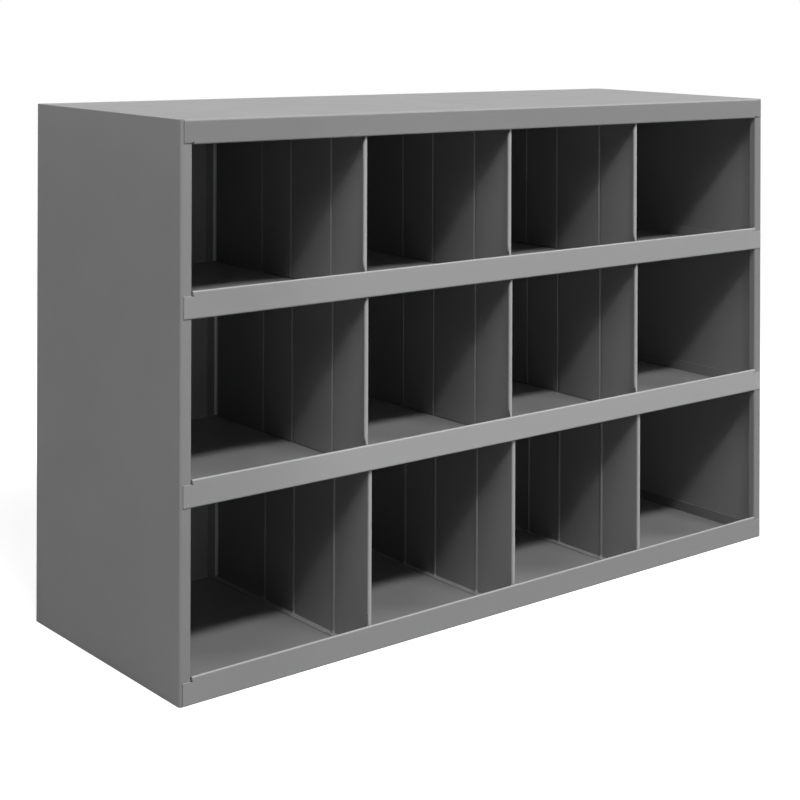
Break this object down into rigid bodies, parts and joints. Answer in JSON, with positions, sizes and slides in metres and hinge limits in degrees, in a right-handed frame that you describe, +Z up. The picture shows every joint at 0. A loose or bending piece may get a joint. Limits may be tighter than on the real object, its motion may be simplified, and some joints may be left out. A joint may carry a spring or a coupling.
{
  "type": "pigeonhole bin unit",
  "caption": "open-front pigeonhole bin unit: a welded sheet-metal case with lipped shelves, upright ribbed dividers and a closed back",
  "frame": {"origin": "middle of the footprint, on the surface that the unit stands on", "axes": "+X to the right along the front as seen from the front, +Y from the open front to the back, +Z up"},
  "size_m": [0.8572, 0.3048, 0.5652],
  "materials": {
    "powder_coat": "satin"
  },
  "bodies": {
    "root": {"left_side": "powder_coat", "right_side": "powder_coat", "back_panel": "powder_coat", "top_panel": "powder_coat", "upper_shelf": "powder_coat", "lower_shelf": "powder_coat", "bottom_pan": "powder_coat", "divider_top_left": "powder_coat", "divider_top_centre": "powder_coat", "divider_top_right": "powder_coat", "divider_middle_left": "powder_coat", "divider_middle_centre": "powder_coat", "divider_middle_right": "powder_coat", "divider_bottom_left": "powder_coat", "divider_bottom_centre": "powder_coat", "divider_bottom_right": "powder_coat"}
  },
  "joints": []
}
